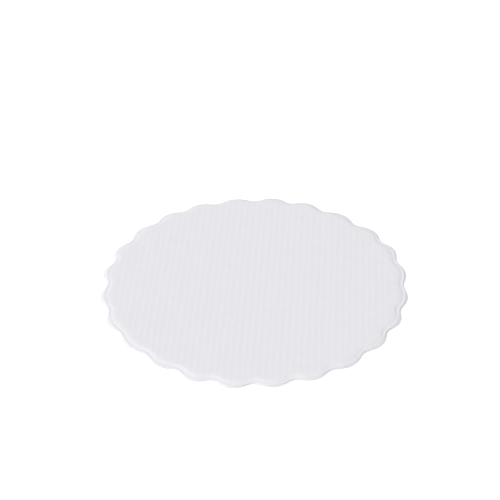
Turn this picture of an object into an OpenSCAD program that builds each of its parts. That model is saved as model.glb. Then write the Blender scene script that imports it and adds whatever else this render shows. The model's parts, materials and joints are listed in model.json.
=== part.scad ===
/* Multi-ply paper cup mat.

   Nine plies of embossed tissue lie on each other. They carry no glue: round the
   edge they are pinched together into a thin margin, which is cut in scallops.
   The mat stands on the plane z = 0, its centre is on the Z axis, and the roots
   of scallops lie on the X and Y axes. Millimetres. */

/* [Outline] */
// Diameter over the tips of the scallops
mat_d = 90; // [75:1:110]
// Number of scallops round the edge
scallops = 24; // [16:4:36]
// Depth of a scallop, from its tip to the roots beside it
scallop_depth = 1.5; // [0.8:0.1:2]
// How far a scallop is fuller than a plain wave, as a share of its depth
scallop_fullness = 0.11; // [0:0.01:0.2]

/* [Plies] */
// Thickness of one embossed ply where the mat is at its full height
ply_t = 0.09; // [0.08:0.01:0.2]
// Thickness of one ply where it is pinched
pinched_t = 0.04; // [0.03:0.01:0.08]

/* [Rim] */
// Width of the pinched margin, from the roots of the scallops inwards
margin_w = 0.5; // [0.3:0.1:2]
// Width of the slope that leads from the margin up to the full height
slope_w = 2.6; // [1.5:0.1:4]
// Height of the margin's underside above the table
rim_lift = 0.05; // [0:0.05:0.4]

/* [Hidden] */
NODES = ["bottom_ply", "ply_2", "ply_3", "ply_4", "ply_5", "ply_6", "ply_7", "ply_8", "top_ply"];

outer_plies = 2;
inner_plies = len(NODES) - outer_plies;
points_per_scallop = 12;
turn_steps = 120;

tip_r = mat_d / 2;
mean_r = tip_r - scallop_depth / 2;
root_r = tip_r - scallop_depth;
margin_r = root_r - margin_w;
body_r = margin_r - slope_w;

// The blank that the scallops are cut from is a little larger than the mat
trim = 1;
blank_r = tip_r + trim;
mat_h = len(NODES) * ply_t;

tissue_white = [0.95, 0.95, 0.97];

// Radius of the edge at angle a: a wave with its roots on the axes, and a second
// wave of twice the count that widens the tips and narrows the roots
function edge_r(a) =
    mean_r - scallop_depth / 2 * cos(scallops * a)
    - scallop_fullness * scallop_depth / 2 * (cos(2 * scallops * a) - 1);

// Heights of a ply's underside, counted from 0 at the table
function body_z(k) = k * ply_t;
function margin_z(k) = rim_lift + k * pinched_t;

module scalloped_outline() {
    steps = scallops * points_per_scallop;
    polygon([
        for (i = [0 : steps - 1])
            let (a = 360 * i / steps)
            edge_r(a) * [cos(a), sin(a)]
    ]);
}

// Ply k before it is cut: flat in the middle, then the slope, then the margin
module ply_blank(k) {
    rotate_extrude($fn = turn_steps)
        polygon([
            [0, body_z(k)],
            [body_r, body_z(k)],
            [margin_r, margin_z(k)],
            [blank_r, margin_z(k)],
            [blank_r, margin_z(k + 1)],
            [margin_r, margin_z(k + 1)],
            [body_r, body_z(k + 1)],
            [0, body_z(k + 1)]
        ]);
}

module ply(k) {
    color(tissue_white)
        intersection() {
            ply_blank(k);
            translate([0, 0, -trim])
                linear_extrude(height = mat_h + 2 * trim)
                    scalloped_outline();
        }
}

// The ply that lies on the table
module bottom_ply() {
    ply(0);
}

// The plies between, which give the mat its softness and soak up a spill
module inner_ply(number) {
    ply(number - 1);
}

// The ply that the cup stands on
module top_ply() {
    ply(len(NODES) - 1);
}

bottom_ply();
for (number = [2 : inner_plies + 1])
    inner_ply(number);
top_ply();
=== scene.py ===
import json
import math

import bpy
import numpy as np
from mathutils import Matrix, Vector, geometry, noise


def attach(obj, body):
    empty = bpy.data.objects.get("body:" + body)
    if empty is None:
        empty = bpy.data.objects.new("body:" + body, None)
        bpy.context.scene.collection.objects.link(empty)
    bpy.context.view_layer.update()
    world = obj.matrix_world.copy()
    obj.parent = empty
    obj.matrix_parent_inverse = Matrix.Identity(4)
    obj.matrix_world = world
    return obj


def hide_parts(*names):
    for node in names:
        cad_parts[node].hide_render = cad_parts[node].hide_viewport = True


# The looks of a paper cup mat: nine plies of embossed tissue, pinched together along a
# groove near the scalloped edge. Lengths are in millimetres and angles in degrees, unless
# a comment says otherwise.

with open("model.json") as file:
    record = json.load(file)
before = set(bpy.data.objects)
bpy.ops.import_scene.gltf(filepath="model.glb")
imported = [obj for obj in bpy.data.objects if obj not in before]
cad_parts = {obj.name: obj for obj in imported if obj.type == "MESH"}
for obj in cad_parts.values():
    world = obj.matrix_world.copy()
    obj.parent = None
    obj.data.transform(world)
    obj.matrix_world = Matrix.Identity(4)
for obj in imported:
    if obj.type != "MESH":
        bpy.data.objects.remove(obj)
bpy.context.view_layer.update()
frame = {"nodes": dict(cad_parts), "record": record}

MM = 0.001
PLIES = [part["node"] for part in frame["record"]["subparts"]]

# ---------------------------------------------------------------- sizes from the frame

# Beyond this share of the radius, a corner of the top ply lies on its margin
MARGIN_STARTS = 0.95

top_corners = [v.co / MM for v in frame["nodes"]["top_ply"].data.vertices]
tip_r = max(math.hypot(p.x, p.y) for p in top_corners)
body_h = max(p.z for p in top_corners)
cut_heights = [p.z for p in top_corners if math.hypot(p.x, p.y) > MARGIN_STARTS * tip_r]
margin_high = max(cut_heights)

# All plies are as thin in the margin as the top one
margin_low = margin_high - (margin_high - min(cut_heights)) * len(PLIES)

# ---------------------------------------------------------------- the cut edge

SCALLOPS = 24
SCALLOP_DEPTH = 1.5
SCALLOP_FULLNESS = 0.11
mean_r = tip_r - SCALLOP_DEPTH / 2

# The cut isn't perfect. Each wave below is (waves in a turn, height, phase): the height is
# in millimetres for a wander, in degrees for the shift of the scallops along the edge, and
# a share for their size and for the groove's depth.
EDGE_WANDER = [(3, 0.16, 70), (4, 0.07, 95), (6, 0.16, 125), (8, 0.12, -125)]
GROOVE_WANDER = [(2, 0.2, -60)]
GROOVE_UNEVEN = [(1, 0.25, 180)]
LEAN_WANDER = [(1, 0.22, 88), (2, 0.12, -70), (3, 0.18, 180)]
SCALLOP_SHIFT = [(2, 0.45, 125), (3, 0.45, -70), (7, 0.3, 75), (8, 0.3, 120)]
SCALLOP_SIZE = [(2, 0.12, 170), (3, 0.09, 135), (4, 0.08, -70), (5, 0.07, 180)]

# How far in from the edge the scallops and the wander of the cut are still felt
SCALLOP_REACH = 3.2
WANDER_REACH = 6.0

STEPS_IN_SCALLOP = 24
ANGLES = np.radians(np.arange(0, 360, 360 / (SCALLOPS * STEPS_IN_SCALLOP)))


def waves(angle, parts):
    """The sum of some slow waves round the mat."""
    return sum(high * np.cos(n * angle - math.radians(phase)) for n, high, phase in parts)


turned = SCALLOPS * (ANGLES - np.radians(waves(ANGLES, SCALLOP_SHIFT)))
tip_share = (1 - np.cos(turned)) / 2

# How far the edge stands out from the mean circle: out at the tips, in at the roots
scallop_wave = SCALLOP_DEPTH / 2 * (1 + waves(ANGLES, SCALLOP_SIZE)) * (
    -np.cos(turned) - SCALLOP_FULLNESS * (np.cos(2 * turned) - 1))


def ring_radius(depth):
    """Radius of the line that runs round the mat at this distance in from the edge."""
    scallops = scallop_wave * np.exp(-((depth / SCALLOP_REACH) ** 2))
    wander = waves(ANGLES, EDGE_WANDER) * np.exp(-depth / WANDER_REACH)
    return mean_r + scallops + wander - depth


# ---------------------------------------------------------------- the profile of the rim

# The stack's upper face: a soft lip at the cut edge, the pinched groove, then the slope up
# to the body. The lower face lies nearly flat on the table.
LIP_FLUFF = 0.04
GROOVE_LIP = 0.1
GROOVE_AT_TIPS = 1.25
GROOVE_AT_ROOTS = 1.0
GROOVE_OUTER_WALL = 0.2
GROOVE_INNER_WALL = 0.9
GROOVE_SINK = 0.08
# How grey the groove is painted: painted shade in the crease, and partly the greyer tone of
# pinched paper
GROOVE_SHADE_GREY = 1.6
LOWER_GROOVE_SINK = 0.04
GROOVE_SHIFT = 0.08
GROOVE_CHANGE = 0.3
SHALLOWEST_GROOVE = 0.1
SIDE_SHARPNESS = 3
SLOPE_START = 0.85
SLOPE_END = 3.25

# How far in from the cut each ring of corners lies, on the faces that show and on the rest
VISIBLE_RINGS = [0, 0.05, 0.12, 0.2, 0.3, 0.4, 0.5, 0.6, 0.7, 0.8, 0.9, 1.0, 1.1, 1.22, 1.4,
                 1.65, 1.95, 2.3, 2.7, 3.15, 3.8]
HIDDEN_RINGS = [0, 0.12, 0.3, 0.5, 0.7, 0.9, 1.1, 1.65, 2.3, 3.8]

# Random waves round the mat: how many in a turn, and where in the noise they are read. The
# plies take the seeds from 0 up.
FLUTTERS = 28
SEED_STEP = 5.3
NOISE_ROW = 11.7
GROOVE_PLACE_SEED = 20
GROOVE_DEPTH_SEED = 21
LIFT_SEED = 22
PUCKER_SEED = 23


def smooth_step(x):
    """0 below 0, 1 above 1, and a smooth rise between."""
    x = np.clip(x, 0, 1)
    return x * x * (3 - 2 * x)


def bell(off, reach):
    """1 where off is 0, and falling to nearly nothing at twice the reach."""
    return np.exp(-((off / reach) ** 2))


def flutter(seed, count=FLUTTERS):
    """A random wave round the mat, from about -1 to 1, another one for each seed.

    It is read from a noise along a circle, which is as large as the count of waves needs."""
    place = Vector((seed * SEED_STEP, NOISE_ROW, 0))
    reach = count / math.pi
    wave = [
        noise.noise(place + reach * Vector((math.cos(a), math.sin(a), 0)))
        for a in ANGLES
    ]
    return 2 * np.array(wave)


# The pinch isn't even: the groove wanders a little, and it is deepest at the sides.
groove_at = (GROOVE_AT_ROOTS + (GROOVE_AT_TIPS - GROOVE_AT_ROOTS) * tip_share
             + waves(ANGLES, GROOVE_WANDER) + GROOVE_SHIFT * flutter(GROOVE_PLACE_SEED))
sideways = np.abs(np.cos(ANGLES)) ** SIDE_SHARPNESS
unevenness = waves(ANGLES, GROOVE_UNEVEN) + GROOVE_CHANGE * flutter(GROOVE_DEPTH_SEED)
groove_strength = (SHALLOWEST_GROOVE + (1 - SHALLOWEST_GROOVE) * sideways) * (1 + unevenness)


def groove(depth):
    """The pinched groove: its strength along its middle, 0 away from it, by angle."""
    off = depth - groove_at
    wall = np.where(off < 0, GROOVE_OUTER_WALL, GROOVE_INNER_WALL)
    return groove_strength * bell(off, wall)


def slope(depth):
    """0 outside the slope, 1 on the body; steepest a quarter of the way in."""
    x = np.clip((depth - SLOPE_START) / (SLOPE_END - SLOPE_START), 0, 1)
    return 1 - (1 - x) ** 4 * (1 + 4 * x)


# The pinch gathers the paper of the slope into small puckers
PUCKERS = 45
PUCKER_RISE = 0.07
PUCKER_AT = 1.5
PUCKER_REACH = 0.65
puckers = PUCKER_RISE * flutter(PUCKER_SEED, PUCKERS)


def stack_height(depth, share):
    """Height above the table at a share of the way up through the stack."""
    lip = margin_high + LIP_FLUFF + GROOVE_LIP * groove_strength
    high = lip + (body_h - lip) * slope(depth) - GROOVE_SINK * groove(depth)
    high += puckers * bell(depth - PUCKER_AT, PUCKER_REACH)
    low = margin_low * (1 - slope(depth)) + LOWER_GROOVE_SINK * groove(depth)
    return low + (high - low) * share


# ---------------------------------------------------------------- the plies' cut edges

# The knife drags the plies out a little on its way down, so the cut leans in towards the
# top. No ply follows it quite evenly, and the edges of the plies are a little loose.
LEAN_AT_TIPS = 0.9
LEAN_AT_ROOTS = 0.55
LEAN_REACH = 1.2
FLUTTER_OUT = 0.03
FLUTTER_UP = 0.04
LEAF_GAP = 0.01


def lean(ply, share, ring):
    """How far a ring of a ply stands back because of the leaning cut, by angle."""
    cut = LEAN_AT_ROOTS + (LEAN_AT_TIPS - LEAN_AT_ROOTS) * tip_share
    back = (cut + waves(ANGLES, LEAN_WANDER)) * share - FLUTTER_OUT * flutter(ply)
    return back * bell(ring, LEAN_REACH)


def lift(ply, share, ring):
    """How far a ring of a ply rises because the edges of the plies are loose, by angle."""
    rise = FLUTTER_UP * share * flutter(LIFT_SEED) + LEAF_GAP / 3 * flutter(ply)
    return rise * bell(ring, LEAN_REACH)


# ---------------------------------------------------------------- embossing

# The directions of the rows of points, from +X: across the view and away from the viewer
EMBOSS_PITCH = 1.892
EMBOSS_ACROSS = 4.1
EMBOSS_AWAY = 87.1
EMBOSS_SINK = 0.054
EMBOSS_LINK = 0.15

row_angles = np.radians([EMBOSS_ACROSS, EMBOSS_AWAY])
lattice = EMBOSS_PITCH * np.array([np.cos(row_angles), np.sin(row_angles)])


def embossing(x, y):
    """1 in the middle of a pressed point, 0 on the cushions between the rows of points.

    The points of a row are linked by a shallower groove that runs away from the viewer."""
    u, v = np.linalg.inv(lattice) @ np.array([x, y])
    along = EMBOSS_LINK + (1 - EMBOSS_LINK) * (1 + np.cos(2 * np.pi * v)) / 2
    return along * (1 + np.cos(2 * np.pi * u)) / 2


# From the start to the end, counted from the edge, the pinch smooths the paper less and
# less. It also flattens the points, by this share at most.
PINCH_START = 1.0
PINCH_END = 2.8
PINCH_FLATTENS = 0.9


def pinched(depth):
    """1 in the rim, where the pinch has smoothed the paper, 0 on the body."""
    return 1 - smooth_step((depth - PINCH_START) / (PINCH_END - PINCH_START))


# ---------------------------------------------------------------- meshes

# The grids inside the innermost ring: their step as a share of the embossing's pitch, and
# how far they stay clear of the ring, as a share of the step, but of no more than 1 mm
FINE_STEP = 1 / 6
COARSE_STEP = 1.5
GRID_CLEARANCE = 0.6

# What geometry.delaunay_2d_cdt is asked for: only triangles inside the outline, and points
# this close together, in millimetres, count as one
INSIDE_ONLY = 1
SAME_POINT = 1e-6

# A fold sharper than this, such as the cut edge, isn't smoothed over
SHARP_ANGLE = 20


def fill(ring, step):
    """Points on a skewed grid inside the ring, and triangles over the ring and the points."""
    reach = math.ceil(mean_r / (step * EMBOSS_PITCH)) + 2
    i, j = np.meshgrid(np.arange(-reach, reach + 1), np.arange(-reach, reach + 1))
    points = (lattice @ np.array([i.ravel(), j.ravel()])) * step
    inner_r = np.hypot(*ring.T).min() - GRID_CLEARANCE * min(step * EMBOSS_PITCH, 1)
    points = points.T[np.hypot(*points) < inner_r]
    corners = [Vector(p) for p in np.vstack([ring, points])]
    outline = [list(range(len(ring)))]
    found = geometry.delaunay_2d_cdt(corners, [], outline, INSIDE_ONLY, SAME_POINT)
    return points, [list(f) for f in found[2]]


inner_ring = np.column_stack([
    ring_radius(VISIBLE_RINGS[-1]) * np.cos(ANGLES),
    ring_radius(VISIBLE_RINGS[-1]) * np.sin(ANGLES),
])
FINE_FILL = fill(inner_ring, FINE_STEP)
COARSE_FILL = fill(inner_ring, COARSE_STEP)

# Painted shade along the cut edge greys the paper there, most at the back and least at the
# sides
EDGE_SHADE_GREY = 4.0
EDGE_SHADE_AT = 0.15
EDGE_SHADE_REACH = 0.2
backwards = (1 + np.sin(ANGLES)) / 2


def edge_shade(ring):
    """How much painted shade greys a ring along the cut edge, by angle: least where the
    groove is deep.
    """
    return EDGE_SHADE_GREY * backwards * (1 - sideways) * bell(ring - EDGE_SHADE_AT, EDGE_SHADE_REACH)


def ply_face(ply, upper, outer):
    """One side of a ply: vertices, faces, and for each vertex how grey its dent and the
    painted shade make it, and how far it is smoothed.

    Only an outer side is finely divided and embossed: the others are hidden in the stack."""
    count = len(ANGLES)
    rings = VISIBLE_RINGS if outer else HIDDEN_RINGS
    points, triangles = FINE_FILL if outer else COARSE_FILL
    share = (ply + (1 if upper else 0)) / len(PLIES)
    side = 1 if upper else -1
    verts, pressed_and_shade, smoothed = [], [], []
    for ring in rings:
        depth = ring + lean(ply, share, ring)
        radius = ring_radius(depth)
        x, y = radius * np.cos(ANGLES), radius * np.sin(ANGLES)
        z = stack_height(depth, share) + lift(ply, share, ring)
        z -= side * LEAF_GAP / 2 * bell(ring, LEAN_REACH)
        dent = np.zeros(count)
        if outer:
            dent = embossing(x, y) * (1 - PINCH_FLATTENS * pinched(depth))
        verts.append(np.column_stack([x, y, z - side * EMBOSS_SINK * dent]))
        # Painted shade greys the groove and the cut edge; each vertex keeps the greyer of
        # this shade and its dent
        painted_shade = np.maximum(edge_shade(ring), GROOVE_SHADE_GREY * groove(depth))
        pressed_and_shade.append(np.maximum(dent, painted_shade))
        smoothed.append(pinched(depth))
    x, y = points.T
    dent = embossing(x, y) if outer else np.zeros(len(x))
    z = body_h * share - side * EMBOSS_SINK * dent
    verts.append(np.column_stack([x, y, z]))
    pressed_and_shade.append(dent)
    smoothed.append(np.zeros(len(x)))
    faces = []
    for ring in range(len(rings) - 1):
        a, b = ring * count, (ring + 1) * count
        for i in range(count):
            j = (i + 1) % count
            faces.append([a + i, a + j, b + j, b + i])
    last = (len(rings) - 1) * count
    faces += [[last + i for i in f] for f in triangles]
    if not upper:
        faces = [f[::-1] for f in faces]
    return np.vstack(verts), faces, np.concatenate(pressed_and_shade), np.concatenate(smoothed)


def ply_mesh(ply):
    """The closed mesh of one ply: upper side, lower side and the cut edge between them."""
    top_v, top_f, *top_marks = ply_face(ply, True, ply == len(PLIES) - 1)
    low_v, low_f, *low_marks = ply_face(ply, False, ply == 0)
    start, count = len(top_v), len(ANGLES)
    faces = top_f + [[start + i for i in f] for f in low_f]
    for i in range(count):
        j = (i + 1) % count
        faces.append([start + i, start + j, j, i])
    mesh = bpy.data.meshes.new(PLIES[ply] + "_sheet")
    mesh.from_pydata((np.vstack([top_v, low_v]) * MM).tolist(), [], faces)
    for name, top, low in zip(("pressed_and_shade", "smoothed"), top_marks, low_marks):
        mark = mesh.attributes.new(name, "FLOAT", "POINT")
        mark.data.foreach_set("value", np.concatenate([top, low]).astype(np.float32))
    mesh.shade_smooth()
    mesh.set_sharp_from_angle(angle=math.radians(SHARP_ANGLE))
    return mesh


# ---------------------------------------------------------------- materials


def new_material(name):
    """A new material, with its nodes and links."""
    material = bpy.data.materials.new(name)
    material.use_nodes = True
    return material, material.node_tree.nodes, material.node_tree.links


# Crepe lines and two lays of fibre: how many to a metre, how far they are drawn out, their
# direction, and how high they stand.
FIBRES = [(1900, 3.5, 88, 0.07), (3800, 4, 38, 0.045), (4600, 4, -24, 0.045)]
FIBRE_DETAIL = 3
FIBRE_CURL = 1.0
BUMP_STRENGTH = 0.6

# Clouds, which are thicker and thinner places in the paper: how many to a metre
CLOUDS = 260
CLOUD_DETAIL = 4

# Colours of the paper, and how much of the rim's white and of the grey the marks bring in
THIN_WHITE = (0.776, 0.768, 0.808)
THICK_WHITE = (0.806, 0.798, 0.836)
# The rim's white is painted light: the smoothed rim is painted lighter than the embossed
# body, standing in for the shade the embossing gives the body, and partly for smoother,
# whiter paper
RIM_LIGHT_WHITE = (0.823, 0.817, 0.843)
# The grey is painted shade in the embossed points, in the groove and along the cut edge, and
# partly the greyer tone of pressed paper
PRESSED_AND_SHADE_GREY = (0.740, 0.735, 0.770)
RIM_LIGHT_SHARE = 0.6
PRESSED_AND_SHADE_SHARE = 0.3


def tissue_material():
    """Soft white tissue: faint clouds, crepe lines, fibres, a rim made lighter with painted
    light, and painted shade in the embossed points, the groove and along the cut.
    """
    material, nodes, links = new_material("tissue")
    shader = nodes["Principled BSDF"]
    shader.inputs["Roughness"].default_value = 0.95
    shader.inputs["Specular IOR Level"].default_value = 0.2
    shader.inputs["Sheen Weight"].default_value = 0.08
    shader.inputs["Sheen Roughness"].default_value = 0.6

    place = nodes.new("ShaderNodeTexCoord")
    clouds = nodes.new("ShaderNodeTexNoise")
    clouds.inputs["Scale"].default_value = CLOUDS
    clouds.inputs["Detail"].default_value = CLOUD_DETAIL
    links.new(place.outputs["Object"], clouds.inputs["Vector"])

    def fibres(scale, stretch, turned_by):
        """Fine streaks of fibre, that many to a metre, turned by an angle."""
        mapping = nodes.new("ShaderNodeMapping")
        mapping.vector_type = "TEXTURE"
        mapping.inputs["Scale"].default_value = (1, stretch, 1)
        mapping.inputs["Rotation"].default_value = (0, 0, math.radians(turned_by))
        links.new(place.outputs["Object"], mapping.inputs["Vector"])
        streaks = nodes.new("ShaderNodeTexNoise")
        streaks.inputs["Scale"].default_value = scale
        streaks.inputs["Detail"].default_value = FIBRE_DETAIL
        streaks.inputs["Distortion"].default_value = FIBRE_CURL
        links.new(mapping.outputs["Vector"], streaks.inputs["Vector"])
        return streaks.outputs["Fac"]

    def mark(name, share):
        """One of the mesh's marks, times a share."""
        attribute = nodes.new("ShaderNodeAttribute")
        attribute.attribute_name = name
        amount = nodes.new("ShaderNodeMath")
        amount.operation = "MULTIPLY"
        amount.inputs[1].default_value = share
        links.new(attribute.outputs["Fac"], amount.inputs[0])
        return amount.outputs[0]

    def blend(factor, first, second):
        """A colour mix; first is a socket or a colour, second a colour."""
        mix = nodes.new("ShaderNodeMix")
        mix.data_type = "RGBA"
        mix.inputs["B"].default_value = (*second, 1)
        links.new(factor, mix.inputs["Factor"])
        if isinstance(first, tuple):
            mix.inputs["A"].default_value = (*first, 1)
        else:
            links.new(first, mix.inputs["A"])
        return mix.outputs["Result"]

    white = blend(clouds.outputs["Fac"], THIN_WHITE, THICK_WHITE)
    # Painted light: the smoothed rim is lighter
    white = blend(mark("smoothed", RIM_LIGHT_SHARE), white, RIM_LIGHT_WHITE)
    # Painted shade: greyer in the embossed points, the groove and along the cut edge
    white = blend(mark("pressed_and_shade", PRESSED_AND_SHADE_SHARE), white, PRESSED_AND_SHADE_GREY)
    links.new(white, shader.inputs["Base Color"])

    normal = None
    for scale, stretch, turned_by, high in FIBRES:
        bump = nodes.new("ShaderNodeBump")
        bump.inputs["Strength"].default_value = BUMP_STRENGTH
        bump.inputs["Distance"].default_value = high * MM
        links.new(fibres(scale, stretch, turned_by), bump.inputs["Height"])
        if normal:
            links.new(normal, bump.inputs["Normal"])
        normal = bump.outputs["Normal"]
    links.new(normal, shader.inputs["Normal"])
    return material


def floor_material():
    """A plain white floor, a little brighter than paper."""
    material, nodes, _ = new_material("studio_floor")
    shader = nodes["Principled BSDF"]
    shader.inputs["Base Color"].default_value = (0.93, 0.93, 0.93, 1)
    shader.inputs["Roughness"].default_value = 1.0
    shader.inputs["Specular IOR Level"].default_value = 0.0
    shader.inputs["Emission Color"].default_value = (1, 1, 1, 1)
    shader.inputs["Emission Strength"].default_value = 0.3
    return material


# ---------------------------------------------------------------- the mat

tissue = tissue_material()
for number, node_name in enumerate(PLIES):
    sheet = bpy.data.objects.new(node_name + "_sheet", ply_mesh(number))
    bpy.context.scene.collection.objects.link(sheet)
    sheet.data.materials.append(tissue)
    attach(sheet, "root")
    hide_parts(node_name)

# ---------------------------------------------------------------- floor, light and camera

FLOOR_SIZE = 12000

floor_mesh = bpy.data.meshes.new("floor")
half = FLOOR_SIZE / 2 * MM
floor_mesh.from_pydata(
    [(-half, -half, 0), (half, -half, 0), (half, half, 0), (-half, half, 0)], [],
    [(0, 1, 2, 3)],
)
floor_mesh.materials.append(floor_material())
floor = bpy.data.objects.new("floor", floor_mesh)
bpy.context.scene.collection.objects.link(floor)

# Radiance of the sky round the table, and the share of the light that the key gives
SKY = 0.71
KEY_SHARE = 0.33
KEY_AZIMUTH = -157
KEY_ELEVATION = 40
KEY_DISTANCE = 4000
KEY_SIZE = 2200

# The camera stands in front of the mat and looks at a point beyond its centre. Its distance
# and that point are in shares of the mean radius, and both count from the height at which
# the outline of the mat shows.
OUTLINE_HEIGHT = 0.10
VIEW_TURN = 0.56
VIEW_ELEVATION = 37.7
VIEW_DISTANCE = 10.593
AIM = (-0.0287, 0.3945)
ROLL = -0.57
LENS = 115.7


def towards(azimuth, elevation):
    """The unit vector from the mat towards an azimuth, counted from +X, and an elevation."""
    a, e = math.radians(azimuth), math.radians(elevation)
    return Vector((math.cos(a) * math.cos(e), math.sin(a) * math.cos(e), math.sin(e)))


world = bpy.data.worlds.new("sky")
world.use_nodes = True
world.node_tree.nodes["Background"].inputs["Color"].default_value = (1, 1, 1, 1)
world.node_tree.nodes["Background"].inputs["Strength"].default_value = SKY
bpy.context.scene.world = world

key_data = bpy.data.lights.new("key", "AREA")
key_data.shape = "DISK"
key_data.size = KEY_SIZE * MM
key_data.energy = (KEY_SHARE * math.pi ** 2 * (KEY_DISTANCE * MM) ** 2
                   / math.sin(math.radians(KEY_ELEVATION)))
key = bpy.data.objects.new("key", key_data)
bpy.context.scene.collection.objects.link(key)
key.location = KEY_DISTANCE * MM * towards(KEY_AZIMUTH, KEY_ELEVATION)
key.rotation_euler = (-key.location).to_track_quat("-Z", "Y").to_euler()

camera_data = bpy.data.cameras.new("camera")
camera_data.lens = LENS
camera = bpy.data.objects.new("camera", camera_data)
bpy.context.scene.collection.objects.link(camera)
turn = Matrix.Rotation(math.radians(VIEW_TURN), 3, "Z")
outline_up = Vector((0, 0, OUTLINE_HEIGHT))
position = VIEW_DISTANCE * mean_r * towards(-90, VIEW_ELEVATION)
aim = mean_r * Vector((*AIM, 0))
camera.location = (turn @ position + outline_up) * MM
looking = (turn @ (aim - position)).to_track_quat("-Z", "Y").to_matrix()
rolled = Matrix.Rotation(math.radians(ROLL), 3, "Z")
camera.rotation_euler = (looking @ rolled).to_euler()
camera_data.clip_start = 0.01
camera_data.clip_end = 100
bpy.context.scene.camera = camera

bpy.context.scene.view_settings.view_transform = "Standard"
